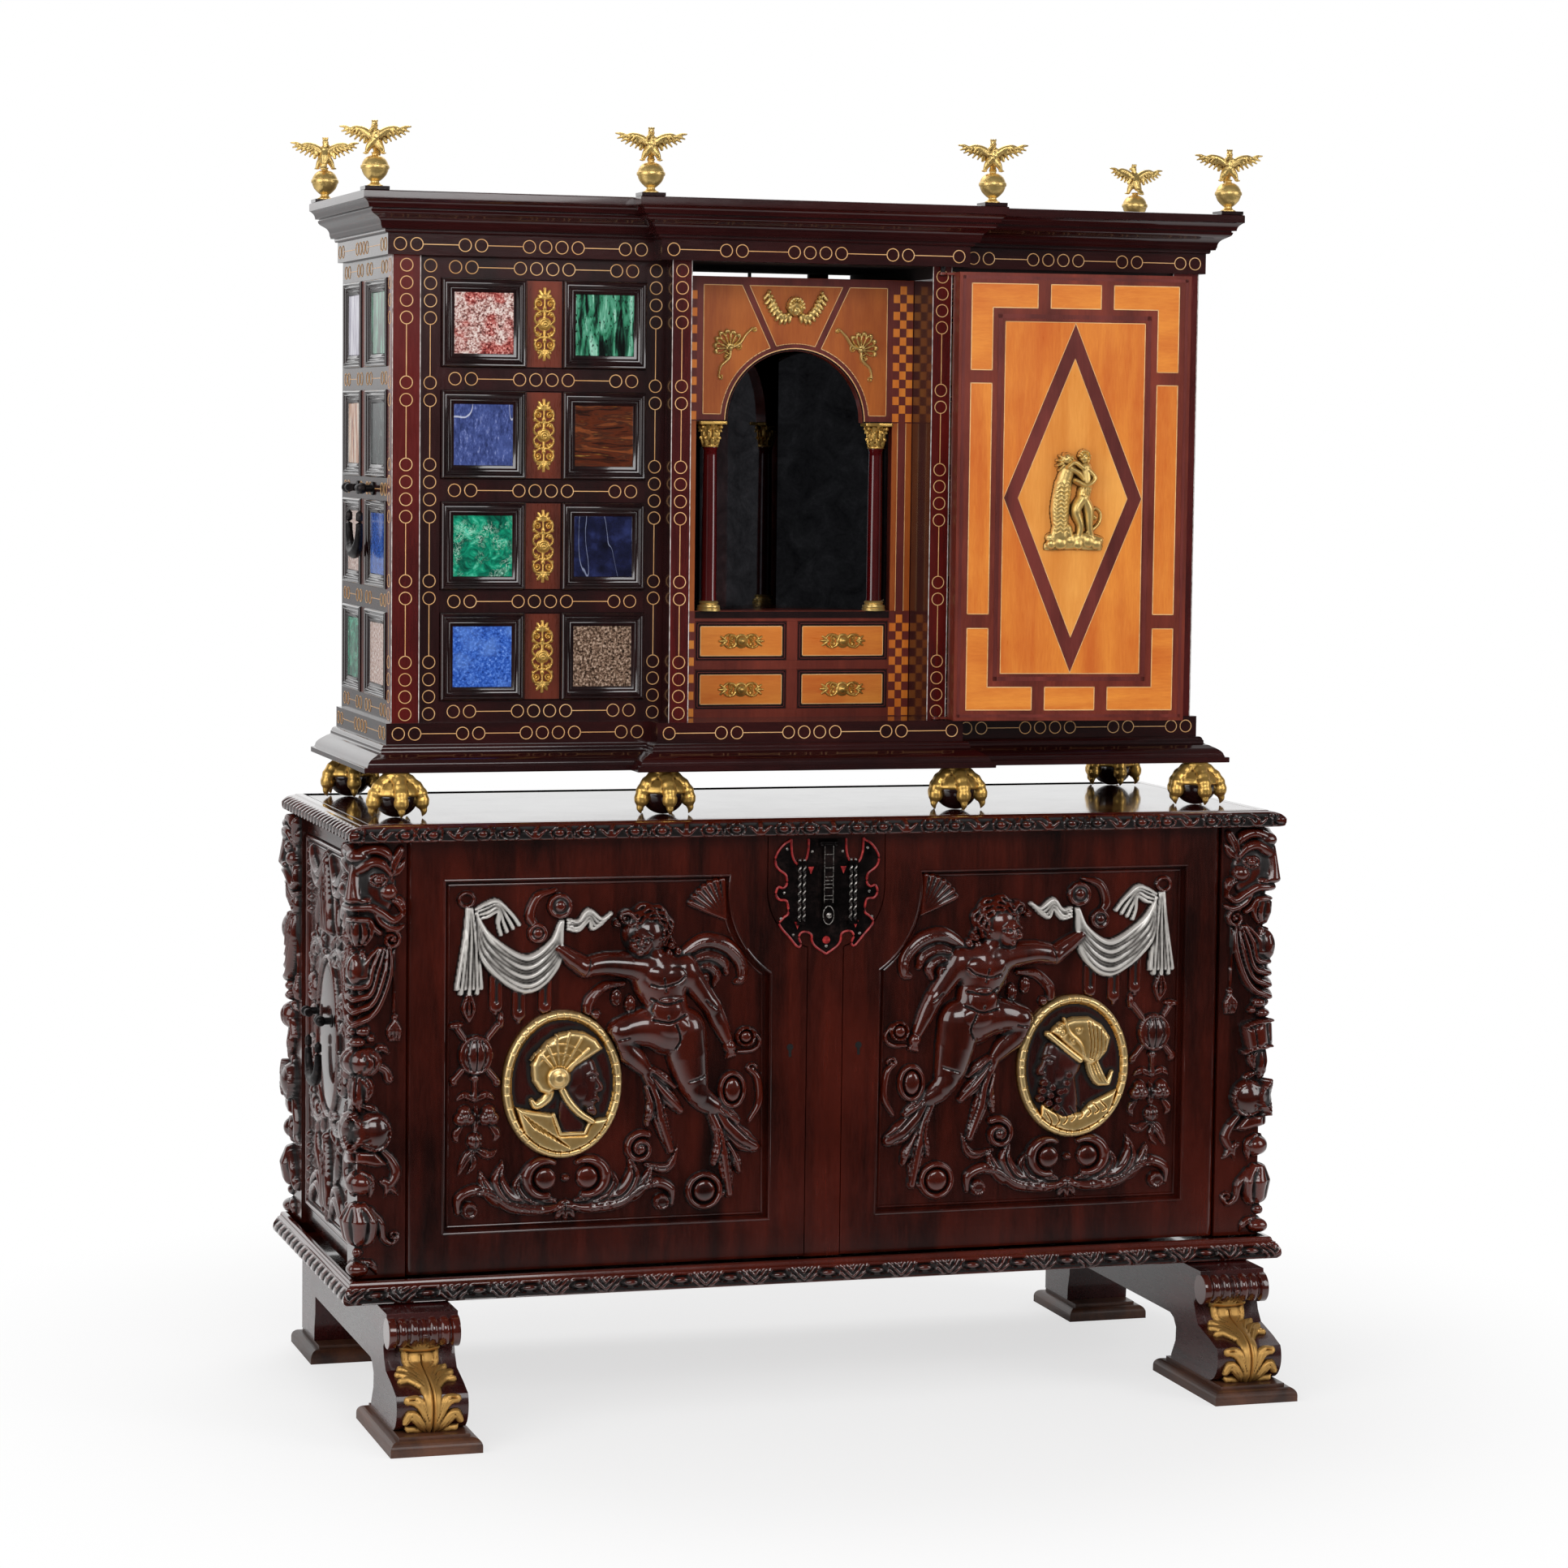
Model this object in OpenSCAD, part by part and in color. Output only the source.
// Cabinet on stand: a drawer cabinet faced with stone panels, on a carved two-door stand.
// Millimetres. X runs to the right, Y to the back, Z up; the origin is on the floor at the centre.

/* [Stand] */
// Width of the stand over its corner posts
stand_w = 1556; // [1480:1:1640]
// Depth of the stand from its front to its back
stand_d = 559; // [520:1:600]
// Height of the trestle feet with their plates
leg_h = 203; // [190:1:220]
// Height of the base moulding
base_h = 38; // [32:1:46]
// Height of the stand's body between its two mouldings
body_h = 701; // [680:1:740]
// Height of the top with its carved edge
top_h = 27; // [22:1:34]
// Overhang of the top at the front
top_out_front = 40; // [34:1:46]
// Overhang of the top at each side
top_out_side = 22; // [16:1:30]
// Overhang of the base moulding at the front
base_out_front = 42; // [36:1:48]
// Overhang of the base moulding at each side
base_out_side = 30; // [24:1:40]
// Overhang of the base moulding at the back
base_out_back = 27; // [20:1:34]
// Width and depth of a corner post
post_w = 78; // [70:1:86]
// Thickness of the side and back boards
board = 18; // [14:1:22]

/* [Stand doors] */
// Thickness of a stand door
door_t = 30; // [26:1:34]
// Gap round a stand door
door_gap = 1.5; // [1:0.25:2.5]
// Width of the fixed stile between the doors
stile_w = 60; // [52:1:70]
// Radius of the fixed shield panel above the stile
head_r = 100; // [90:1:108]
// Straight height of the shield panel above its round end
head_h = 92; // [80:1:110]
// Width of a door's frame round its carved panel
door_frame = 60; // [54:1:66]
// Height of a door's top and bottom rail
door_rail = 64; // [56:1:72]
// Depth of the carved panel behind the frame
panel_sink = 14; // [10:1:17]
// Radius of the panel's hollow corner, round the shield panel
hollow_r = 165; // [155:1:175]
// Radius of a stand door's pivot pin
pin_r = 5; // [4:0.5:6]
// Distance of a pivot pin from the door's edge and face
pin_in = 12; // [10:0.5:14]
// Height of a pivot pin
pin_h = 15; // [12:1:20]
// Running clearance round every pin
pin_clear = 0.08; // [0.06:0.01:0.1]
// Half width of a portrait medallion
medal_a = 100; // [92:1:106]
// Half height of a portrait medallion
medal_b = 121; // [112:1:126]

/* [Trestle feet] */
// Width of a foot plate
plate_w = 147; // [138:1:158]
// Height of a foot plate
plate_h = 28; // [24:1:32]
// Length of a front foot plate
plate_front_d = 272; // [262:1:282]
// Length of a rear foot plate
plate_back_d = 186; // [176:1:196]
// Width of a trestle
trestle_w = 115; // [106:1:124]
// Distance from the centre of the cabinet to the centre of a trestle
trestle_x = 692.5; // [670:0.5:700]
// Reach of the foot plates in front of the body
foot_front = 211; // [200:1:222]
// Reach of the foot plates behind the body
foot_back = 80; // [72:1:90]
// Height of the arch under a trestle
arch_h = 107; // [96:1:116]

/* [Cabinet] */
// Width of the cabinet over its posts
cab_w = 1394; // [1340:1:1440]
// Depth of the cabinet at its side bays
cab_d = 408; // [385:1:425]
// Setback of the cabinet's front from the stand's front
cab_back = 144; // [136:1:152]
// Projection of the middle section
break_out = 46; // [42:1:50]
// Height of the claw feet
foot_h = 72; // [66:1:80]
// Radius of the ball under a claw foot
ball_r = 33; // [30:0.5:35]
// Height of the cabinet's base moulding
cab_base_h = 43; // [36:1:50]
// Height of the plinth band
plinth_h = 34; // [28:1:40]
// Height of the cabinet's body between plinth and frieze
cab_h = 752; // [752:1:780]
// Height of the frieze band
frieze_h = 34; // [30:1:40]
// Height of the cornice
cornice_h = 65; // [56:1:74]
// How far the cornice stands out past the frieze
cornice_out = 49; // [42:1:54]
// How far the base moulding stands out past the plinth
cab_base_out = 44; // [38:1:48]
// How far the plinth and frieze bands stand out past the posts
band_out = 9; // [7:1:12]
// Width of an outer post of the front
front_post = 47; // [42:1:52]
// Width of the inlaid strip beside a drawer
strip_w = 34; // [30:1:38]
// How far a bay lies behind its posts
bay_sink = 7; // [5:1:10]

/* [Drawers] */
// Height of the three rails between the drawer rows, together
rails_h = 110; // [100:1:120]
// Gap round a drawer
drawer_gap = 1; // [0.6:0.1:1.5]
// Thickness of a drawer front
front_t = 18; // [15:1:22]
// Thickness of a drawer's sides
side_t = 11; // [9:1:14]
// Thickness of a drawer's bottom
bottom_t = 8; // [6:1:10]
// Depth of a drawer behind its front
drawer_d = 300; // [270:1:320]
// Width of the moulding round a stone
moulding_w = 21; // [18:1:23]
// Height of the moulding round a stone
moulding_t = 11; // [8:1:13]
// Width of the plain strip that carries a drawer's mount
mount_strip = 60; // [54:1:66]
// Height of a drawer's gilt mount
mount_h = 119; // [104:1:124]
// Thickness of a stone panel
stone_t = 5; // [3:0.5:6]

/* [Niche] */
// Half width of the niche opening between the posts
niche_half = 207; // [203:1:212]
// Width of a middle post
mid_post = 34; // [30:1:38]
// Depth of the inner front behind the middle posts
inner_sink = 95; // [90:1:105]
// Thickness of the inner front
inner_t = 18; // [15:1:22]
// Half width of the arch
arch_r = 118; // [110:1:120]
// Height of the niche floor above the bottom of the opening
sill_z = 178; // [174:1:186]
// Height of the columns with base and capital
column_h = 315; // [305:1:325]
// Radius of a column's shaft
shaft_r = 12.5; // [10:0.5:14]
// Distance from the centre to a column's axis
column_x = 145; // [143:1:147]
// Width of a checkered pilaster
pilaster_w = 36; // [34:1:38]
// Width of a small drawer's front
small_w = 158; // [152:1:160]
// Height of a small drawer's front
small_h = 65; // [60:1:66]
// Depth of a small drawer
small_d = 150; // [120:1:170]
// How far the mirrors lie back at the niche's middle
mirror_back = 77; // [66:1:90]

/* [Middle door] */
// Width of the middle door
mid_door_w = 398; // [390:1:400]
// Thickness of the middle door
mid_door_t = 45; // [40:1:46]
// Angle by which the open door stands short of flat open
mid_door_rest = 5.6; // [3:0.1:8]
// Distance from the pivot to the door's edge
mid_pivot_in = 19; // [18:0.5:20]

/* [Handles] */
// Width of an iron handle between its bosses
bail_w = 124; // [112:1:134]
// Drop of an iron handle
bail_drop = 104; // [94:1:112]
// Thickness of an iron handle's bar
bail_r = 6; // [5:0.5:7]

/* [Hidden] */
$fn = 48;

// Heights
base_z = leg_h;
body_z = base_z + base_h;
top_z = body_z + body_h;
table_z = top_z + top_h;
cab_z = table_z + foot_h;
plinth_z = cab_z + cab_base_h;
open_z = plinth_z + plinth_h;
frieze_z = open_z + cab_h;
cornice_z = frieze_z + frieze_h;
crown_z = cornice_z + cornice_h;

// Depths: the foot plates reach as far before the origin as behind it
depth = foot_front + stand_d + foot_back;
front_y = foot_front - depth / 2;
back_y = front_y + stand_d;
cab_y = front_y + cab_back;
cab_back_y = cab_y + cab_d;
bay_y = cab_y + bay_sink;
frame_back_y = cab_y + 25;
mid_y = cab_y - mid_post;
inner_y = mid_y + inner_sink;

// Running gap under a drawer
seat_gap = 0.3;
// Fine joint line between two boards of a case
joint_line = 0.2;
// How far a side board lies in from the posts' outer faces
side_in = 10;
// Thickness of the veneered strips on the cabinet's sides
side_strip_t = 6;
// Depth of the front and back strips on the cabinet's sides
side_front_w = 34;
side_back_w = 20;
// Thickness of the cabinet's back board
back_t = 12;
// Share of the stand's body height at which its iron handles hang
handle_share = 0.548;

// Bays and drawers
outer_x = cab_w / 2;
bay_out_x = outer_x - front_post - strip_w;
bay_in_x = niche_half + mid_post + strip_w - 2;
drawer_w = bay_out_x - bay_in_x;
drawer_x = (bay_out_x + bay_in_x) / 2;
rows = 4;
row_margin = 35;
drawer_h = (cab_h - 2 * row_margin - rails_h) / rows;
row_pitch = (cab_h - 2 * row_margin - drawer_h) / (rows - 1);
function row_z(i) = open_z + row_margin + (rows - 1 - i) * row_pitch;
frame_w = (drawer_w - mount_strip) / 2;
// Thickness of a shelf under a drawer, and of the upright guides beside the drawers
guide_t = 16;
guide_w = 20;
// How far a drawer's box is narrower than its front on each side, and how much lower
box_in = 2;
box_low = 22;
// Open slot over the middle back board, and the blocks that stand in it: [place, width]
back_slot = 10;
slot_blocks = [[128, 35], [19, 3]];

// Side stones: width and centre in depth of the two columns, front one first
side_col_w = [165, 147];
side_col_y = [cab_y + side_front_w + side_col_w[0] / 2, cab_back_y - side_back_w - side_col_w[1] / 2];
side_face = outer_x - side_strip_t + 0.2;

// Stand doors
door_x0 = stile_w / 2 + door_gap;
door_x1 = stand_w / 2 - post_w - door_gap;
door_z0 = body_z + door_gap;
door_z1 = top_z - door_gap;
head_z = top_z - head_h;
pin_x = door_x1 - pin_in;
pin_y = front_y + pin_in;
panel_y = front_y + panel_sink;
medal_x = 441;
medal_z = body_z + 300;

// Middle door
mid_pin_x = niche_half - 3 + mid_pivot_in;
mid_pin_y = mid_y - 4.3;
mid_pin_r = 4;
mid_boss_r = 7;
mid_plate_t = 4;
mid_door_z0 = open_z + 1;
mid_door_z1 = frieze_z - 9;
mid_face = mid_door_t - 3;

// Niche
floor_z = open_z + sill_z;
spring_z = floor_z + column_h;
inner_top = frieze_z - 20;
panel_half = niche_half - pilaster_w;
spandrel_h = inner_top - spring_z;
shell_x = 115;
cherub_x = -2;

// A solid swept up a plan: each profile row is [outward offset, height]
module swept(plan, ways, profile) {
  n = len(plan);
  m = len(profile);
  points = [for (p = profile) for (i = [0 : n - 1])
    [plan[i][0] + ways[i][0] * p[0], plan[i][1] + ways[i][1] * p[0], p[1]]];
  walls = [for (j = [0 : m - 2]) for (i = [0 : n - 1]) let (k = (i + 1) % n)
    [j * n + i, (j + 1) * n + i, (j + 1) * n + k, j * n + k]];
  bottom = [for (i = [0 : n - 1]) i];
  top = [for (i = [n - 1 : -1 : 0]) (m - 1) * n + i];
  polyhedron(points, concat([bottom], walls, [top]));
}

// A mitred frame lying in the XY plane: each profile row is [inward offset, height]
module mitred_frame(w, h, profile) {
  m = len(profile);
  signs = [[-1, -1], [1, -1], [1, 1], [-1, 1]];
  points = [for (p = profile) for (s = signs) [s[0] * (w / 2 - p[0]), s[1] * (h / 2 - p[0]), p[1]]];
  walls = [for (j = [0 : m - 1]) for (i = [0 : 3]) let (k = (i + 1) % 4, up = (j + 1) % m)
    [j * 4 + i, up * 4 + i, up * 4 + k, j * 4 + k]];
  polyhedron(points, walls);
}

// A box between two opposite corners
module span(a, b) {
  translate(a) cube(b - a);
}

// Both sides of the object
module pair() {
  children();
  mirror([1, 0, 0]) children();
}

// Points of an arc
function arc(cx, cy, r, a0, a1, n) =
  [for (i = [0 : n]) let (a = a0 + (a1 - a0) * i / n) [cx + r * cos(a), cy + r * sin(a)]];

// Points of an ellipse
function oval(a, b, n) = [for (i = [0 : n - 1]) [a * cos(360 * i / n), b * sin(360 * i / n)]];

// Stands a drawing in the XY plane up, facing the front, with its own height as relief
module facing_front(x, y, z) {
  translate([x, y, z]) rotate([90, 0, 0]) children();
}

// The same, facing the right-hand side
module facing_right(x, y, z) {
  translate([x, y, z]) rotate([90, 0, 90]) children();
}

// Plan of a rectangle from its front to its back, and the way each corner moves
function box_plan(x, y0, y1) = [[-x, y1], [-x, y0], [x, y0], [x, y1]];
function box_ways(back) = [[-1, back], [-1, -1], [1, -1], [1, back]];

// Plan of the cabinet with its middle section standing forward
function break_plan(x, y0, y1, mx, my) =
  [[-x, y1], [-x, y0], [-mx, y0], [-mx, my], [mx, my], [mx, y0], [x, y0], [x, y1]];
break_ways = [[-1, 0], [-1, -1], [-1, -1], [-1, -1], [1, -1], [1, -1], [1, -1], [1, 0]];

// Plinth, frieze and mouldings follow this outline
band_x = outer_x + band_out;
band_y = cab_y - band_out;
band_mx = 265;
band_my = band_y - break_out;
band_plan = break_plan(band_x, band_y, cab_back_y, band_mx, band_my);

// Four foot plates with a rounded upper edge
module foot_plates() {
  color("saddlebrown")
  pair() {
    plate(front_y - foot_front, plate_front_d);
    plate(back_y + foot_back - plate_back_d, plate_back_d);
  }
}

module plate(y, d) {
  round = 13;
  edge = concat([[0, 0], [0, plate_h - round - 5]],
    [for (a = [15 : 15 : 90]) [-round * (1 - cos(a)), plate_h - round - 5 + round * sin(a)]],
    [[-round - 4, plate_h - 5], [-round - 4, plate_h]]);
  translate([trestle_x, 0, 0]) swept(box_plan(plate_w / 2, y, y + d), box_ways(1), edge);
}

// Side outline of a trestle in depth and height: a scrolled console in front, a plain leg behind
console_front = front_y - foot_front + 32;
low_r = 40;
high_r = 25;
neck_y = front_y - 73;
leg_back = back_y + foot_back - 17;
arch_front = front_y + 27;
arch_back = leg_back - 122;
console_outline = concat(
  [[console_front + low_r + 10, plate_h]],
  arc(console_front + low_r, plate_h + low_r, low_r, 260, 150, 9),
  [[console_front + 18, plate_h + 64], [console_front + 35, plate_h + 70], [neck_y - 20, plate_h + 83],
   [neck_y - 6, plate_h + 101], [neck_y, plate_h + 118]],
  arc(front_y - 98, leg_h - 31, high_r, 310, 95, 9),
  [[front_y - 98, leg_h], [leg_back, leg_h], [leg_back, plate_h], [arch_back + 10, plate_h],
   [arch_back + 8, plate_h + 24], [arch_back, plate_h + 50], [arch_back, arch_h]],
  [[arch_front + 2, arch_h], [arch_front - 14, arch_h - 6], [arch_front - 25, arch_h - 20],
   [arch_front - 24, plate_h + 36], [arch_front - 6, plate_h + 8], [arch_front - 6, plate_h]]);

// Slanted panel sunk into each side of a console
console_panel = [[front_y - 2, leg_h - 72], [front_y - 62, leg_h - 72],
  [front_y - 50, plate_h + 27], [front_y - 36, plate_h + 27]];

// Two trestles, each one board wide as thick as the console
module trestles() {
  color("#2a0f0b")
  pair() translate([trestle_x, 0, 0]) difference() {
    trestle_board(0);
    for (s = [-1, 1]) {
      disc_recess(s, console_front + low_r + 6, plate_h + low_r - 16, 26, 21);
      disc_recess(s, front_y - 98, leg_h - 31, 17, 12);
      translate([s * (trestle_w / 2 - 1) - 1.5, 0, 0])
        rotate([90, 0, 90]) linear_extrude(3) polygon(console_panel);
    }
  }
}

// The trestle's outline as a board, grown by a gap
module trestle_board(grow) {
  translate([-trestle_w / 2, 0, 0]) rotate([90, 0, 90])
    linear_extrude(trestle_w) offset(delta = grow) polygon(console_outline);
}

// A ring cut into a trestle's side, round a disc that stays
module disc_recess(s, y, z, r, inner) {
  cut = 2.5;
  translate([s * (trestle_w / 2 - cut / 2 + 0.01), y, z]) rotate([0, 90, 0]) difference() {
    cylinder(r = r, h = cut + 0.02, center = true);
    cylinder(r = inner, h = cut + 1, center = true);
  }
}

// Gilt acanthus leaf on the console: [height, how far it stands forward, half width]
leaf_seat = 0.2;
leaf_rows = [[29, 8, 34], [44, 11, 44], [62, 10, 40], [84, 11, 30], [104, 11, 42],
  [122, 10, 36], [140, 10, 22], [150, 12, 26], [160, 18, 24]];

// Front of the console at a height
console_fronts = [[28, console_front + 22], [44, console_front + 4], [68, console_front],
  [84, console_front + 6], [92, console_front + 18], [98, console_front + 35], [111, neck_y - 20],
  [129, neck_y - 6], [146, neck_y], [160, neck_y - 3]];
function console_y(z) = lookup(z, console_fronts);

// Gilt leaves that climb the two front consoles
module foot_leaves() {
  color("gold")
  pair() translate([trestle_x, 0, 0]) difference() {
    leaf();
    trestle_board(leaf_seat);
  }
}

module leaf() {
  n = len(leaf_rows);
  ring = [for (r = leaf_rows) let (z = r[0], y = console_y(z), w = r[2], t = r[1])
    [[-w, y + 30, z], [-w * 0.95, y - t * 0.5, z], [-w * 0.45, y - t * 0.75, z], [0, y - t, z],
     [w * 0.45, y - t * 0.75, z], [w * 0.95, y - t * 0.5, z], [w, y + 30, z]]];
  points = [for (r = ring) for (p = r) p];
  walls = [for (j = [0 : n - 2]) for (i = [0 : 6]) let (k = (i + 1) % 7)
    [j * 7 + i, (j + 1) * 7 + i, (j + 1) * 7 + k, j * 7 + k]];
  polyhedron(points, concat([[for (i = [0 : 6]) i]], walls, [[for (i = [6 : -1 : 0]) (n - 1) * 7 + i]]));
}

// Base moulding, which is also the floor of the cupboard
module base_moulding() {
  color("#2a0f0b")
  swept(
    box_plan(stand_w / 2 + base_out_side, front_y - base_out_front, back_y + base_out_back),
    box_ways(1),
    [[-20, base_z], [-6, base_z + 2], [-1, base_z + 7], [0, base_z + 12], [-1, base_z + 19],
     [-6, base_z + 27], [-12, base_z + 31], [-12, base_z + base_h]]);
}

// Corner posts, side boards and back board of the stand
module stand_carcass() {
  j = joint_line;
  post_x = stand_w / 2 - post_w;
  side_x = stand_w / 2 - side_in;
  color("#2a0f0b") {
    pair() {
      for (y = [front_y, back_y - post_w])
        span([post_x, y, body_z], [stand_w / 2, y + post_w, top_z]);
      span([side_x - board, front_y + post_w + j, body_z], [side_x, back_y - post_w - j, top_z]);
    }
    span([-post_x + j, back_y - board, body_z], [post_x - j, back_y, top_z]);
  }
}

// Outline of the fixed stile with the shield panel above it, grown by a gap
function stile_outline(grow) =
  let (r = head_r + grow, w = stile_w / 2 + grow,
    z = head_z - sqrt(r * r - w * w), a = asin((z - head_z) / r))
  concat([[-w, body_z], [w, body_z]], arc(0, head_z, r, a, 0, 8), [[r, top_z], [-r, top_z]],
    arc(0, head_z, r, 180, 180 - a, 8));

// Fixed stile and shield panel, with the thin board behind that the doors close on
module centre_stile() {
  stop = 14;
  color("#3a130d")
  union() {
    facing_front(0, front_y + door_t, 0) linear_extrude(door_t) polygon(stile_outline(0));
    span([-stile_w / 2 - stop, front_y + door_t + 0.5, body_z],
      [stile_w / 2 + stop, front_y + door_t + 12, top_z]);
    span([-stile_w / 2 + 4, front_y + door_t - 1, body_z], [stile_w / 2 - 4, front_y + door_t + 1, top_z]);
  }
}

// Top with its carved edge
module stand_top() {
  color("#2a0f0b")
  swept(box_plan(stand_w / 2 + top_out_side, front_y - top_out_front, back_y - 7), box_ways(0),
    [[-8, top_z], [-2, top_z + 2], [0, top_z + 8], [0, top_z + 15], [-6, top_z + 21], [-16, top_z + 25],
     [-28, table_z]]);
}

// Outline of the carved panel in a door, seen from the front, on the right-hand side
panel_x0 = door_x0 + door_frame;
panel_x1 = door_x1 - door_frame;
panel_z0 = door_z0 + door_rail;
panel_z1 = door_z1 - door_rail;
function panel_outline() =
  let (a1 = asin((panel_z1 - head_z) / hollow_r), a0 = -acos(panel_x0 / hollow_r))
  concat([[panel_x0, panel_z0], [panel_x1, panel_z0], [panel_x1, panel_z1]],
    arc(0, head_z, hollow_r, a1, a0, 10));

// Stand door on the right-hand side: flat frame, sunk panel, hollow top corner and two pivot bores
module stand_door() {
  difference() {
    span([door_x0, front_y, door_z0], [door_x1, front_y + door_t, door_z1]);
    translate([0, front_y + door_t + 1, head_z]) rotate([90, 0, 0])
      cylinder(r = head_r + door_gap, h = door_t + 2, $fn = 96);
    span([door_x0 - 1, front_y - 1, head_z], [head_r + door_gap, front_y + door_t + 1, top_z]);
    translate([0, panel_y, 0]) rotate([90, 0, 0]) linear_extrude(panel_sink + 1) polygon(panel_outline());
    difference() {
      span([pin_x, front_y - 1, door_z0 - 1], [door_x1 + 1, pin_y, door_z1 + 1]);
      translate([pin_x, pin_y, door_z0 - 2]) cylinder(r = pin_in, h = door_z1 - door_z0 + 4);
    }
    for (z = [body_z, top_z - pin_h - 1])
      translate([pin_x, pin_y, z - 0.01]) cylinder(r = pin_r + pin_clear, h = pin_h + 1);
  }
}

module stand_door_right() {
  color("#3a130d") stand_door();
}

module stand_door_left() {
  color("#3a130d") mirror([1, 0, 0]) stand_door();
}

// Pins that the doors of the stand and the middle door turn on
module pivot_pins() {
  color("dimgray")
  union() {
    pair() {
      translate([pin_x, pin_y, body_z]) cylinder(r = pin_r, h = pin_h);
      translate([pin_x, pin_y, top_z - pin_h]) cylinder(r = pin_r, h = pin_h);
    }
    translate([mid_pin_x, mid_pin_y, open_z]) cylinder(r = mid_pin_r, h = mid_plate_t + 2);
    translate([mid_pin_x, mid_pin_y, mid_door_z1 - mid_plate_t - 1])
      cylinder(r = mid_pin_r, h = frieze_z - mid_door_z1 + mid_plate_t + 1);
  }
}

// Carving of one door panel: a winged child, drapery, shield, fruit and scrolls round a medallion.
// Places are [x, z] on the right-hand door; the third number is how far the middle stands forward.
// Each row is [x, relief, z, radius] of a limb's one end and of its other.
panel_mid = [(panel_x0 + panel_x1) / 2, (panel_z0 + panel_z1) / 2];
panel_size = [panel_x1 - panel_x0, panel_z1 - panel_z0];
relief_limbs = [[[268, 10, 752, 26], [262, 10, 668, 22]], [[262, 8, 660, 24], [252, 8, 622, 24]],
  [[308, 10, 786, 28], [313, 12, 790, 28]], [[290, 10, 745, 13], [362, 9, 728, 11]],
  [[362, 9, 728, 11], [432, 8, 752, 8]], [[248, 8, 738, 13], [204, 7, 660, 10]],
  [[204, 7, 660, 10], [166, 6, 588, 8]], [[270, 8, 628, 20], [345, 8, 624, 15]],
  [[345, 8, 624, 15], [300, 6, 560, 11]], [[300, 4, 560, 11], [252, 3, 455, 8]],
  [[240, 8, 610, 19], [219, 7, 516, 15]], [[219, 7, 516, 15], [170, 5, 455, 10]],
  [[222, 4, 740, 15], [146, 4, 708, 8]], [[192, 4, 480, 9], [130, 3, 388, 8]],
  [[602, 4, 845, 10], [598, 4, 690, 15]], [[585, 5, 830, 9], [510, 6, 715, 16]],
  [[510, 6, 715, 16], [446, 5, 800, 9]], [[585, 2, 600, 26], [585, 2, 588, 26]],
  [[602, 3, 493, 16], [562, 3, 497, 16]], [[587, 2, 455, 12], [606, 2, 412, 14]],
  [[612, 2, 350, 14], [532, 4, 398, 14]], [[532, 4, 398, 14], [434, 4, 345, 18]],
  [[434, 4, 345, 18], [328, 4, 388, 14]], [[328, 4, 388, 14], [240, 2, 345, 16]],
  [[447, 3, 831, 18], [482, 2, 794, 9]], [[179, 2, 808, 9], [203, 2, 862, 22]],
  [[308, 2, 430, 20], [262, 2, 418, 12]], [[201, 2, 357, 20], [155, 2, 372, 12]]];

module relief() {
  y = panel_y - 0.2;
  kx = panel_size[0] / 547;
  kz = panel_size[1] / 570;
  intersection() {
    span([panel_x0 + 6, y - 40, panel_z0 + 6], [panel_x1 - 6, y, panel_z1 - 6]);
    for (row = relief_limbs) hull() for (p = row)
      translate([panel_mid[0] + (p[0] - 365) * kx, y - p[1], panel_mid[1] + (p[2] - 591.5) * kz])
        sphere(p[3], $fn = 12);
  }
}

module relief_right() {
  color("#2a0f0b")
  difference() {
    relief();
    medallion_body(3);
  }
}

module relief_left() {
  color("#2a0f0b")
  mirror([1, 0, 0]) difference() {
    relief();
    medallion_body(3);
  }
}

// Ellipse of the medallion, as deep as the relief
module medallion_body(grow) {
  facing_front(medal_x, panel_y + 1, medal_z)
    linear_extrude(60) polygon(oval(medal_a + grow, medal_b + grow, 40));
}

// Gilt oval frame and a helmeted head in profile
// Outline of the throat and face under the helmet
head_outline = [[-24, 34], [-34, 6], [-26, -12], [-20, -28], [-8, -36], [0, -60], [34, -60], [30, 30]];

module medallion() {
  ring = 13;
  facing_front(medal_x, panel_y - 0.2, medal_z) {
    difference() {
      linear_extrude(18) polygon(oval(medal_a, medal_b, 40));
      translate([0, 0, 6]) linear_extrude(20) polygon(oval(medal_a - ring, medal_b - ring, 40));
    }
    intersection() {
      linear_extrude(20) polygon(oval(medal_a - ring - 1, medal_b - ring - 1, 40));
      union() {
        translate([8, 28, 2]) sphere(40, $fn = 24);
        translate([0, -90, 0]) sphere(52, $fn = 24);
        translate([0, 0, 5]) linear_extrude(9) polygon(head_outline);
      }
    }
  }
}

module medallion_right() {
  color("gold") medallion();
}

module medallion_left() {
  color("gold") mirror([1, 0, 0]) medallion();
}

// Carved corners and side panels of the stand
module stand_carving() {
  color("#2a0f0b")
  pair() {
    for (y = [front_y, back_y]) corner_carving(y, y == front_y ? -1 : 1);
    side_carving();
  }
}

// Mask, drapery, fruit, collar, ribbon and buds down one corner:
// [share of the body's height, radius, how far stretched upright]
corner_pods = [[0.945, 31, 1.1], [0.873, 33, 1.3], [0.7, 29, 2.3], [0.56, 20, 1.5], [0.492, 27, 1.2],
  [0.405, 25, 0.8], [0.27, 20, 1.6], [0.2, 18, 1.3], [0.125, 26, 1.3], [0.061, 9, 1], [0.03, 17, 1.1]];
// Volute under the mask and the round shield:
// [share of the body's height, place on the face, radius, thickness]
corner_discs = [[0.773, -50, 15, 18], [0.338, -20, 28, 24]];

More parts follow.
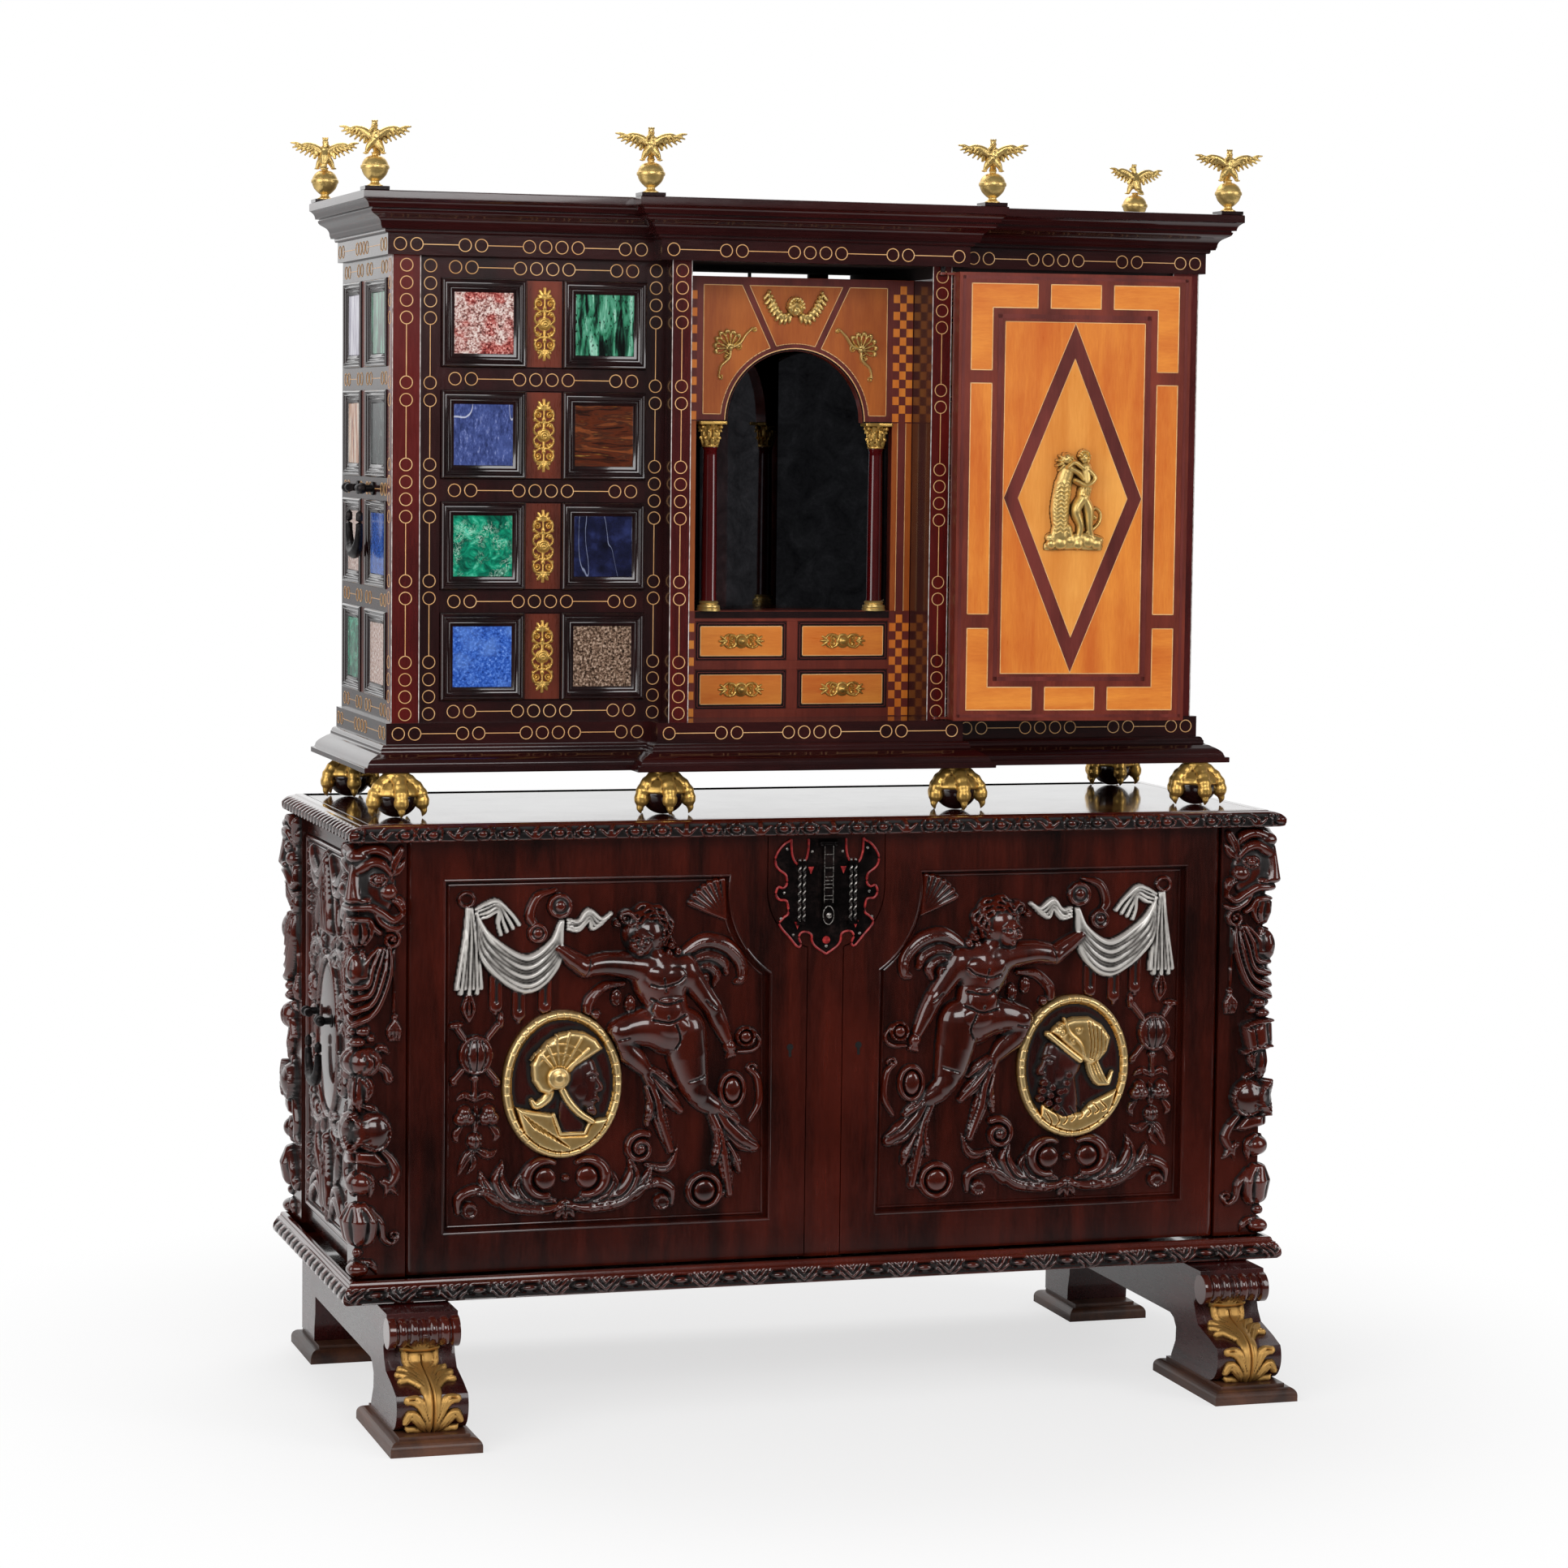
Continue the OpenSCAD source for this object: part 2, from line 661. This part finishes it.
module corner_carving(y, s) {
  face_x = stand_w / 2 + 0.2;
  face_y = y + s * 0.2;
  reach = post_w + 20;
  difference() {
    translate([stand_w / 2, y, body_z]) union() {
      for (r = corner_pods) translate([-12, -s * 12, r[0] * body_h]) pod(r[1], r[1] * r[2]);
      for (d = corner_discs) {
        translate([d[1], 0, d[0] * body_h]) rotate([90, 0, 0])
          cylinder(r = d[2], h = 2 * d[3], center = true, $fn = 32);
        translate([0, s * d[1], d[0] * body_h]) rotate([0, 90, 0])
          cylinder(r = d[2], h = 2 * d[3], center = true, $fn = 32);
      }
    }
    span([stand_w / 2 - reach, min(face_y, y - s * reach), body_z - reach],
      [face_x, max(face_y, y - s * reach), top_z + reach]);
    span([0, min(y, y + s * reach), top_z - 0.2], [stand_w, max(y, y + s * reach), top_z + reach]);
  }
}

// A turned pod: an ellipse round the upright axis
module pod(r, h) {
  rotate_extrude($fn = 28) polygon([for (a = [-90 : 22.5 : 90]) [r * cos(a), h * sin(a)]]);
}

// Carving of a side board: border, bead strings, tassels with drapery, and a smooth oval boss
module side_carving() {
  half_w = stand_d / 2 - post_w - 8;
  half_h = body_h / 2 - 30;
  border = 14;
  facing_right(stand_w / 2 - side_in + 0.2, (front_y + back_y) / 2, body_z + body_h / 2) {
    difference() {
      translate([-half_w, -half_h, 0]) cube([2 * half_w, 2 * half_h, 7]);
      translate([border - half_w, border - half_h, -1])
        cube([2 * (half_w - border), 2 * (half_h - border), 9]);
    }
    linear_extrude(side_boss_t) polygon(oval(half_w * 0.42, half_h * 0.39, 36));
    for (t = [-1, 1]) {
      translate([0, t * half_h * 0.66, 0])
        linear_extrude(12) polygon(side_swag(half_w * 0.5, half_h * 0.24));
      for (s = [-1, 1]) for (k = [0 : 4])
        translate([s * (half_w - border - 12), t * (half_h - border - 14 - 20 * k), 0]) sphere_cap(7, 6);
      for (s = [-1, 1])
        translate([s * half_w * 0.6, t * half_h * 0.36, 0]) cylinder(r1 = 24, r2 = 16, h = 12, $fn = 32);
    }
  }
}

// Drapery that hangs between two knots and ends in a tassel
function side_swag(w, h) = [for (p = [[-1, 1], [-0.6, 0.8], [0, 0.95], [0.6, 0.8], [1, 1], [0.8, 0.2],
  [0.35, -0.2], [0.3, -0.9], [0, -1], [-0.3, -0.9], [-0.35, -0.2], [-0.8, 0.2]]) [w * p[0], h * p[1]]];

// Scalloped iron plate on the shield panel, with two twisted rods and round nails
plate_y = front_y - 0.2;
plate_top = top_z - 4;
lock_rod_x = 44;
plate_face = plate_y - 2.9;
// Half widths of the lock plate: [distance below its top, half width]
lock_halves = [[0, 82], [22, 92], [44, 86], [66, 74], [84, 76], [92, 94], [104, 94], [112, 76], [150, 70],
  [158, 66], [170, 50], [180, 36], [190, 22], [200, 1]];
function lock_side(s) = [for (h = lock_halves) [s * h[1], plate_top - h[0]]];

module lock_plate() {
  color("#1c1a1a")
  union() {
    facing_front(0, plate_y, 0) linear_extrude(3)
      polygon(concat(lock_side(-1), [for (i = [len(lock_halves) - 1 : -1 : 0]) lock_side(1)[i]]));
    for (s = [-1, 1]) {
      for (k = [-1, 1])
        translate([s * lock_rod_x + k * 3, plate_y - 6, plate_top - 142])
          cylinder(r = 2.8, h = 100, $fn = 16);
      for (z = [plate_top - 144, plate_top - 44])
        span([s * lock_rod_x - 7, plate_y - 10, z], [s * lock_rod_x + 7, plate_face, z + 8]);
      for (d = [18, 98, 160])
        facing_front(s * (lookup(d, lock_halves) - 12), plate_face, plate_top - d)
          cylinder(r1 = 3.4, r2 = 1.6, h = 2.4, $fn = 16);
      cross_pin([s * 15, hasp_y, hasp_z], 4.5, 5);
      span([s * 15 - 2.5, hasp_y, hasp_z - 4.5], [s * 15 + 2.5, plate_face, hasp_z + 4.5]);
    }
    cross_pin([0, hasp_y, hasp_z], 2, 26);
  }
}

// A round pin along X, centred on a place
module cross_pin(at, r, length) {
  translate(at) rotate([0, 90, 0]) cylinder(r = r, h = length, center = true, $fn = 24);
}

// The same along Y
module deep_pin(at, r, length) {
  translate(at) rotate([90, 0, 0]) cylinder(r = r, h = length, center = true, $fn = 24);
}

// Hinged hasp strap over the plate
hasp_y = plate_y - 9;
hasp_z = top_z - 16;

module hasp() {
  color("#1c1a1a")
  difference() {
    union() {
      translate([0, hasp_y, hasp_z]) rotate([0, 90, 0]) cylinder(r = 4.5, h = 24, center = true, $fn = 24);
      span([-8.5, hasp_y - 3.5, hasp_z - 112], [8.5, hasp_y + 0.5, hasp_z]);
      translate([0, hasp_y + 0.5, hasp_z - 118]) rotate([90, 0, 0]) cylinder(r = 10, h = 4, $fn = 36);
      translate([0, hasp_y - 3.4, hasp_z - 119]) rotate([90, 0, 0]) cylinder(r = 4.5, h = 4, $fn = 24);
    }
    cross_pin([0, hasp_y, hasp_z], 2 + pin_clear, 30);
  }
}

// Ball ears of the iron handles: place of each handle's centre, at the height of its bosses
bail_out = 20;
boss_r = 9;
side_boss_t = 8;
rail_z = row_z(1) - (row_pitch - drawer_h) / 2;
cab_bail = [outer_x, (cab_y + cab_back_y) / 2, rail_z];
stand_bail = [stand_w / 2 - side_in + side_boss_t + 0.2, (front_y + back_y) / 2,
  body_z + body_h * handle_share];

module handle_bosses() {
  color("#1c1a1a")
  pair() {
    bosses(cab_bail);
    bosses(stand_bail);
  }
}

module bosses(at) {
  for (s = [-1, 1]) translate(at + [0, s * bail_w / 2, 0]) rotate([0, 90, 0]) {
    translate([0, 0, 0.2]) cylinder(r = 11, h = 3, $fn = 32);
    difference() {
      union() {
        translate([0, 0, 3]) cylinder(r = 6, h = bail_out - 6, $fn = 32);
        translate([0, 0, bail_out]) sphere(boss_r, $fn = 32);
      }
      deep_pin([0, 0, bail_out], 3 + pin_clear, 40);
    }
  }
}

// A hanging iron handle with a swollen grip
module bail(at) {
  x = at[0] + bail_out;
  z = at[2];
  reach = bail_w / 2 - 19;
  low = z - bail_drop + 40;
  for (s = [-1, 1]) {
    deep_pin([x, at[1] + s * (bail_w / 2 - 4), z], 3, 28);
    translate([x, at[1] + s * reach, low]) cylinder(r = bail_r, h = z - low + bail_r, $fn = 24);
    deep_pin([x, at[1] + s * reach, z], bail_r, 12);
  }
  translate([x, at[1], low]) rotate([90, 0, 90]) rotate_extrude(angle = -180, $fn = 64)
    translate([reach, 0]) circle(r = bail_r + 2, $fn = 24);
}

module cabinet_handle_right() {
  color("#1c1a1a") bail(cab_bail);
}

module cabinet_handle_left() {
  color("#1c1a1a") mirror([1, 0, 0]) bail(cab_bail);
}

module stand_handle_right() {
  color("#1c1a1a") bail(stand_bail);
}

module stand_handle_left() {
  color("#1c1a1a") mirror([1, 0, 0]) bail(stand_bail);
}

// Places of the six feet under the cabinet
cap_t = foot_h - 2 * ball_r;
foot_places = [[outer_x - 2, cab_y - 36], [outer_x - 2, cab_back_y - 59], [254, mid_y - 19]];

module ball_feet() {
  color("#2a0f0b")
  pair() for (p = foot_places) translate([p[0], p[1], table_z + ball_r]) sphere(ball_r);
}

// Gilt claws: a cap over each ball and four toes that grip it
module claw_feet() {
  color("gold")
  pair() for (p = foot_places) translate([p[0], p[1], table_z + ball_r]) claw();
}

module claw() {
  gap = 0.15;
  toe = 7;
  rotate_extrude() difference() {
    intersection() {
      circle(r = ball_r + cap_t - 0.01, $fn = 64);
      translate([0, ball_r * 0.45]) square([ball_r * 2, ball_r * 2]);
    }
    circle(r = ball_r + gap, $fn = 64);
    translate([-ball_r * 3, -ball_r * 3]) square([ball_r * 3, ball_r * 6]);
  }
  toe_x = ball_r + toe + gap;
  for (a = [-90 : 72 : 198]) rotate([0, 0, a]) {
    rotate([90, 0, 0]) rotate_extrude(angle = 52) translate([toe_x, 0]) circle(r = toe, $fn = 20);
    translate([toe_x, 0, -12]) cylinder(r1 = 3, r2 = toe - 1, h = 12, $fn = 20);
  }
}

// Base moulding and plinth band of the cabinet
module cabinet_base() {
  z = cab_z;
  o = cab_base_out;
  color("#2a0f0b")
  swept(band_plan, break_ways,
    [[o, z], [o, z + 9], [o - 7, z + 12], [o - 9, z + 17], [o - 16, z + 24], [o - 26, z + 29],
     [o - 34, z + 32], [o - 34, z + 36], [o - 38, z + 42], [0, z + cab_base_h], [0, open_z]]);
}

// Boards of the cabinet: sides, back, top, partitions, drawer boards and guides
module cabinet_carcass() {
  j = joint_line;
  side_x = outer_x - side_strip_t;
  back_y0 = cab_back_y - back_t;
  color("#3a130d") {
    pair() {
      span([side_x - board, frame_back_y, open_z], [side_x, cab_back_y, frieze_z]);
      span([niche_half, frame_back_y, open_z], [niche_half + board, back_y0 - j, frieze_z]);
      for (x = [bay_in_x - guide_w, bay_out_x])
        span([x, frame_back_y, open_z], [x + guide_w, back_y0 - j, frieze_z]);
      for (i = [0 : rows - 1])
        span([bay_in_x + j, frame_back_y, row_z(i) - guide_t], [bay_out_x - j, back_y0 - j, row_z(i)]);
      span([niche_half, back_y0, open_z], [side_x - board - j, cab_back_y, frieze_z]);
    }
    span([-niche_half + j, back_y0, open_z], [niche_half - j, cab_back_y, frieze_z - back_slot]);
    for (b = slot_blocks)
      span([b[0], back_y0, frieze_z - back_slot + j], [b[0] + b[1], cab_back_y, frieze_z]);
  }
}

// Posts, strips and rails of the front and sides, each a board of its own
module front_frame() {
  j = joint_line;
  side_x = outer_x - side_strip_t;
  post_x = outer_x - front_post;
  strip_y0 = cab_y + side_front_w;
  strip_y1 = cab_back_y - side_back_w;
  stile_y = [side_col_y[0] + side_col_w[0] / 2, side_col_y[1] - side_col_w[1] / 2];
  color("#3a130d")
  difference() {
    pair() {
      span([post_x, cab_y, open_z], [outer_x, frame_back_y, frieze_z]);
      span([bay_out_x, bay_y, open_z], [post_x - j, frame_back_y, frieze_z]);
      span([niche_half + mid_post + j, bay_y, open_z], [bay_in_x, frame_back_y, frieze_z]);
      span([niche_half, mid_y, open_z], [niche_half + mid_post, frame_back_y, frieze_z]);
      span([side_x, frame_back_y + j, open_z], [outer_x, strip_y0, frieze_z]);
      span([side_x, strip_y1, open_z], [outer_x, cab_back_y, frieze_z]);
      for (i = [0 : rows]) {
        z0 = i == rows ? open_z : row_z(i) + drawer_h;
        z1 = i == 0 ? frieze_z : row_z(i - 1);
        span([bay_in_x + j, bay_y, z0], [bay_out_x - j, frame_back_y, z1]);
        span([side_x, strip_y0 + j, z0], [outer_x, strip_y1 - j, z1]);
      }
      for (i = [0 : rows - 1])
        span([side_x, stile_y[0] + j, row_z(i) + j], [outer_x, stile_y[1] - j, row_z(i) + drawer_h - j]);
    }
    for (z = [open_z - 1, mid_door_z1 - mid_plate_t - 1])
      translate([mid_pin_x, mid_pin_y, z]) cylinder(r = mid_boss_r + 0.6, h = mid_plate_t + 3);
  }
}

// Frieze and cornice
module cornice() {
  z = cornice_z;
  h = cornice_h;
  o = cornice_out;
  color("#2a0f0b")
  swept(band_plan, break_ways,
    [[0, frieze_z], [0, z], [o * 0.1, z + 2], [o * 0.12, z + 6], [o * 0.26, z + 8], [o * 0.3, z + 16],
     [o * 0.4, z + 23], [o * 0.62, z + 29], [o * 0.7, z + 36], [o * 0.66, z + 38], [o * 0.8, z + 41],
     [o * 0.84, z + 47], [o * 0.96, z + 51], [o, z + 55], [o, z + h - 2], [o - 3, z + h]]);
}

// Section of the moulding round a stone: [inward offset, height]
moulding_profile = [for (p = [[0, 0], [0, 0.72], [0.1, 0.95], [0.22, 1], [0.36, 0.84], [0.5, 0.8],
  [0.86, 0.42], [1, 0.36], [1, 0]]) [moulding_w * p[0], moulding_t * p[1]]];

module side_mouldings() {
  color("#1c0b09")
  pair() for (i = [0 : rows - 1]) for (c = [0, 1])
    facing_right(side_face, side_col_y[c], row_z(i) + drawer_h / 2)
      mitred_frame(side_col_w[c] - 0.4, drawer_h - 0.4, moulding_profile);
}

module side_stones() {
  color("lightsteelblue")
  pair() for (i = [0 : rows - 1]) for (c = [0, 1])
    facing_right(side_face, side_col_y[c], row_z(i) + drawer_h / 2)
      stone(side_col_w[c] - 2 * moulding_w - 0.8, drawer_h - 2 * moulding_w - 0.8);
}

// A stone panel with a slightly eased edge
module stone(w, h) {
  e = 0.6;
  translate([-w / 2, -h / 2, 0]) cube([w, h, stone_t - e]);
  translate([-w / 2 + e, -h / 2 + e, 0]) cube([w - 2 * e, h - 2 * e, stone_t]);
}

// One drawer of a side bay: front, box and the two mitred mouldings. s is -1 on the left
module drawer(i, s) {
  g = drawer_gap;
  j = joint_line;
  z = row_z(i);
  z0 = z + seat_gap;
  z1 = z + drawer_h - box_low;
  x0 = s * drawer_x - drawer_w / 2 + g;
  x1 = s * drawer_x + drawer_w / 2 - g;
  in0 = x0 + box_in + side_t + j;
  in1 = x1 - box_in - side_t - j;
  y0 = bay_y + front_t;
  y1 = y0 + drawer_d;
  span([x0, bay_y, z + g], [x1, y0 - j, z + drawer_h - g]);
  for (x = [x0 + box_in, x1 - box_in - side_t])
    span([x, y0, z0], [x + side_t, y1, z1]);
  span([in0, y1 - side_t, z0], [in1, y1, z1]);
  span([in0, y0, z0], [in1, y1 - side_t - j, z + bottom_t]);
  for (k = [-1, 1])
    facing_front(s * drawer_x + k * (mount_strip + frame_w) / 2, bay_y, z + drawer_h / 2)
      mitred_frame(frame_w - 2 * g, drawer_h - 2 * g, moulding_profile);
}

module drawer_stones(i, s) {
  for (k = [-1, 1])
    facing_front(s * drawer_x + k * (mount_strip + frame_w) / 2, bay_y - 0.1, row_z(i) + drawer_h / 2)
      stone(frame_w - 2 * moulding_w - 3, drawer_h - 2 * moulding_w - 3);
}

// Gilt mount of a drawer: a long scrolled plate with a round boss that serves as the pull
module mount(i, s) {
  facing_front(s * drawer_x, bay_y - 0.1, row_z(i) + drawer_h / 2) {
    linear_extrude(3.5) polygon([for (a = [0 : 10 : 350])
      let (w = 14 + 6 * abs(cos(a)) - 3 * abs(sin(2 * a))) [w * cos(a) * 1.05, mount_h / 2 * sin(a)]]);
    translate([0, 0, 3.4]) cylinder(r1 = 9, r2 = 7, h = 6, $fn = 32);
    for (k = [-1, 1]) translate([0, k * mount_h * 0.33, 3.4]) cylinder(r1 = 6, r2 = 3, h = 3, $fn = 24);
  }
}

module drawer_1() {
  color("#3a130d") drawer(0, -1);
}

module drawer_2() {
  color("#3a130d") drawer(1, -1);
}

module drawer_3() {
  color("#3a130d") drawer(2, -1);
}

module drawer_4() {
  color("#3a130d") drawer(3, -1);
}

module stones_1() {
  color("indianred") drawer_stones(0, -1);
}

module stones_2() {
  color("slateblue") drawer_stones(1, -1);
}

module stones_3() {
  color("seagreen") drawer_stones(2, -1);
}

module stones_4() {
  color("royalblue") drawer_stones(3, -1);
}

module mount_1() {
  color("gold") mount(0, -1);
}

module mount_2() {
  color("gold") mount(1, -1);
}

module mount_3() {
  color("gold") mount(2, -1);
}

module mount_4() {
  color("gold") mount(3, -1);
}

module right_drawers() {
  color("#3a130d") for (i = [0 : rows - 1]) drawer(i, 1);
}

module right_stones() {
  color("slateblue") for (i = [0 : rows - 1]) drawer_stones(i, 1);
}

module right_mounts() {
  color("gold") for (i = [0 : rows - 1]) mount(i, 1);
}

// Six gilt finials: an eagle with open wings on a belted ball
finial_in = 22;
finial_places = [
  [band_x + cornice_out - finial_in, band_y - cornice_out + finial_in],
  [band_x + cornice_out - finial_in, cab_back_y - finial_in - 2],
  [band_mx + cornice_out - finial_in, band_my - cornice_out + finial_in]];

module finials() {
  color("gold")
  pair() for (p = finial_places) translate([p[0], p[1], crown_z]) finial();
}

// Outline of one wing of an eagle
eagle_wing = [[0, -8], [14, -4], [24, 2], [36, 4], [44, 12], [49, 23], [38, 24], [27, 20], [16, 18],
  [4, 8]];

module finial() {
  translate([-20, -20, 0]) cube([40, 40, 6]);
  rotate_extrude() polygon([[0, 5.9], [13, 5.9], [13, 8], [8, 10], [7, 14], [14, 20], [20, 28], [21.5, 33],
    [23, 34], [23, 38], [21.5, 39], [19, 46], [11, 53], [5, 55], [4, 60], [0, 60]]);
  translate([0, 0, 78]) rotate([0, 14, 0]) rotate_extrude()
    polygon([[0, -22], [6, -18], [10, -8], [11, 0], [8, 12], [5, 18], [0, 20]]);
  translate([8, 0, 98]) sphere(6, $fn = 20);
  translate([12, 0, 99]) rotate([0, 100, 0]) cylinder(r1 = 3.5, r2 = 0.6, h = 9, $fn = 12);
  for (s = [-1, 1]) translate([s * 5, 3, 82]) rotate([90, 0, 0]) linear_extrude(4)
    polygon([for (p = eagle_wing) [s * p[0], p[1]]]);
}

// Inner front with the arch, its two pilasters, and the boards of the small drawers' case
module niche_case() {
  j = joint_line;
  half = niche_half - 0.5;
  case_back = inner_y + small_d + 14;
  color("#5a2415") {
    pair() {
      span([panel_half, inner_y, floor_z + j], [half, inner_y + inner_t, spring_z - j]);
      difference() {
        span([j / 2, inner_y, spring_z], [half, inner_y + inner_t, inner_top]);
        translate([0, inner_y + inner_t + 1, spring_z]) rotate([90, 0, 0])
          cylinder(r = arch_r, h = inner_t + 2, $fn = 96);
      }
    }
    for (k = [0 : 2])
      span([-half, inner_y, case_z[k][0]], [half, case_back, case_z[k][1]]);
    for (k = [0, 1], x = case_x)
      span([x[0], inner_y, case_z[k][1] + j], [x[1], case_back, case_z[k + 1][0] - j]);
    for (k = [0, 1], s = [-1, 1])
      span([min(s * case_x[1][1], s * case_x[2][0]) + j, case_back - 12, case_z[k][1] + j],
        [max(s * case_x[1][1], s * case_x[2][0]) - j, case_back, case_z[k + 1][0] - j]);
  }
}

// Places of the small drawers: centre in width and bottom in height
small_z = [open_z + 14, open_z + 95];
small_places = [for (z = [small_z[1], small_z[0]]) for (s = [-1, 1]) [s * (small_w / 2 + 10), z]];
// Boards of their case: bottom and top of the three level ones, both sides of the three upright ones
case_z = [[open_z, small_z[0] - 0.3], [small_z[0] + small_h + 0.9, small_z[1] - 0.3],
  [small_z[1] + small_h + 0.9, floor_z]];
case_x = [[0.5 - niche_half, -small_w - 10.6], [-9.4, 9.4], [small_w + 10.6, niche_half - 0.5]];

module small_drawer(k) {
  p = small_places[k];
  t = 7;
  z = p[1];
  color("#8a4a22")
  difference() {
    span([p[0] - small_w / 2, inner_y, z], [p[0] + small_w / 2, inner_y + small_d, z + small_h]);
    span([p[0] - small_w / 2 + t, inner_y + 12, z + 5],
      [p[0] + small_w / 2 - t, inner_y + small_d - t, z + small_h + 1]);
  }
}

module small_drawer_1() {
  small_drawer(0);
}

module small_drawer_2() {
  small_drawer(1);
}

module small_drawer_3() {
  small_drawer(2);
}

module small_drawer_4() {
  small_drawer(3);
}

// Gilt pull of a small drawer: a long openwork plate with a rosette
module pull(k) {
  p = small_places[k];
  color("gold")
  facing_front(p[0], inner_y - 0.1, p[1] + small_h / 2) {
    linear_extrude(3) difference() {
      polygon([for (j = [0 : 35]) let (a = j * 10) [40 * cos(a), (9 + 5 * abs(cos(2 * a))) * sin(a)]]);
      for (s = [-1, 1]) translate([s * 20, 0]) circle(r = 4, $fn = 20);
    }
    translate([0, 0, 2.9]) cylinder(r1 = 10, r2 = 7, h = 7, $fn = 32);
  }
}

module pull_1() {
  pull(0);
}

module pull_2() {
  pull(1);
}

module pull_3() {
  pull(2);
}

module pull_4() {
  pull(3);
}

// Two dark mirrors that meet at the back of the niche, and the vault above them
module niche_mirrors() {
  t = 4;
  y0 = inner_y + inner_t + 0.3;
  y1 = inner_y + mirror_back + inner_t;
  w = panel_half;
  color("black")
  translate([0, 0, floor_z + 0.3]) linear_extrude(spring_z - floor_z + arch_r + 4) difference() {
    polygon([[-w, y0], [-w, y0 + 6], [0, y1 + t], [w, y0 + 6], [w, y0]]);
    polygon([[-w + t, y0 - 1], [-w + t, y0 + 1.5], [0, y1], [w - t, y0 + 1.5], [w - t, y0 - 1]]);
  }
}

column_y = inner_y + inner_t / 2 - 3;
cap_h = 43;
foot_ring = 17;

// Dark red shafts
module columns() {
  shaft_h = column_h - cap_h - foot_ring;
  color("#4a0f0f")
  pair() translate([column_x, column_y, floor_z + foot_ring]) rotate_extrude()
    polygon([[0, 0], [shaft_r + 0.5, 0], [shaft_r, 10], [shaft_r - 1.2, shaft_h], [0, shaft_h]]);
}

// Outline of the two wings on one side of the winged head
cherub_wings = [[8, -24], [30, -26], [36, -8], [50, 8], [56, 26], [42, 22], [28, 4], [8, 2]];

// Gilt capitals and bases, the winged head over the arch and the two shells
module niche_gilding() {
  color("gold")
  union() {
    pair() {
      translate([column_x, column_y, floor_z]) rotate_extrude()
        polygon([[0, 0], [20, 0], [20, 5], [18, 6], [19, 9], [15, 11], [16, 14], [14, foot_ring],
          [0, foot_ring]]);
      translate([column_x, column_y, spring_z - cap_h]) {
        rotate_extrude() polygon([[0, 0], [14, 0], [14, 4], [12.5, 5], [17, 16], [14, 17], [19, 29],
          [16, 30], [20, 38], [0, 38]]);
        translate([-24.5, -21, 37.5]) cube([49, 33, cap_h - 37.5]);
      }
      facing_front(shell_x, inner_y - 0.2, spring_z + spandrel_h * 0.5) linear_extrude(4)
        polygon([for (a = [0 : 12 : 348])
          (22 + 7 * cos(a - 45) + 2 * cos(6 * a)) * [cos(a), sin(a)]]);
    }
    facing_front(cherub_x, inner_y - 0.2, spring_z + spandrel_h * 0.75) {
      sphere_cap(17, 12);
      for (s = [-1, 1]) linear_extrude(5)
        polygon([for (p = cherub_wings) [s * p[0], p[1]]]);
    }
  }
}

// The part of a sphere above the XY plane, as wide as r and as high as h
module sphere_cap(r, h) {
  big = (r * r + h * h) / (2 * h);
  intersection() {
    translate([0, 0, h - big]) sphere(big);
    translate([-r * 2, -r * 2, 0]) cube([r * 4, r * 4, h * 2]);
  }
}

// Middle door, swung open: its inner face is towards the front
module middle_door() {
  z0 = mid_door_z0;
  z1 = mid_door_z1;
  e = mid_pivot_in;
  color("#5a2415")
  translate([mid_pin_x, mid_pin_y, 0]) rotate([0, 0, -mid_door_rest]) difference() {
    union() {
      span([e, -mid_face, z0], [e + mid_door_w, mid_door_t - mid_face, z1]);
      for (z = [z0, z1 - mid_plate_t]) {
        translate([0, 0, z]) cylinder(r = mid_boss_r, h = mid_plate_t);
        span([0, -3, z], [e + 30, mid_door_t - mid_face, z + mid_plate_t]);
      }
    }
    translate([0, 0, z0 - 1]) cylinder(r = mid_pin_r + pin_clear, h = z1 - z0 + 2);
  }
}

// Outline of the figure, the lion and the rock under them
group_outline = [[-46, -84], [46, -84], [44, -60], [32, -50], [34, 20], [44, 40], [30, 84], [4, 74],
  [-14, 84], [-40, 70], [-44, 30], [-34, 10], [-40, -20], [-30, -40], [-44, -62]];

// Gilt figure and lion on the inner face of the door
module door_figure() {
  color("gold")
  translate([mid_pin_x, mid_pin_y, 0]) rotate([0, 0, -mid_door_rest])
    facing_front(mid_pivot_in + mid_door_w / 2, -mid_face - 0.1, (mid_door_z0 + mid_door_z1) / 2 + 18) {
      linear_extrude(8) polygon(group_outline);
      translate([16, 70, 0]) sphere_cap(13, 15);
      translate([-18, 66, 0]) sphere_cap(15, 16);
    }
}

foot_plates();
trestles();
foot_leaves();
base_moulding();
stand_carcass();
centre_stile();
stand_top();
stand_carving();
lock_plate();
hasp();
stand_door_left();
stand_door_right();
relief_left();
relief_right();
medallion_left();
medallion_right();
pivot_pins();
handle_bosses();
stand_handle_left();
stand_handle_right();
ball_feet();
claw_feet();
cabinet_base();
cabinet_carcass();
front_frame();
cornice();
side_mouldings();
side_stones();
finials();
right_drawers();
right_stones();
right_mounts();
niche_case();
niche_mirrors();
columns();
niche_gilding();
middle_door();
door_figure();
cabinet_handle_left();
cabinet_handle_right();
drawer_1();
drawer_2();
drawer_3();
drawer_4();
stones_1();
stones_2();
stones_3();
stones_4();
mount_1();
mount_2();
mount_3();
mount_4();
small_drawer_1();
small_drawer_2();
small_drawer_3();
small_drawer_4();
pull_1();
pull_2();
pull_3();
pull_4();
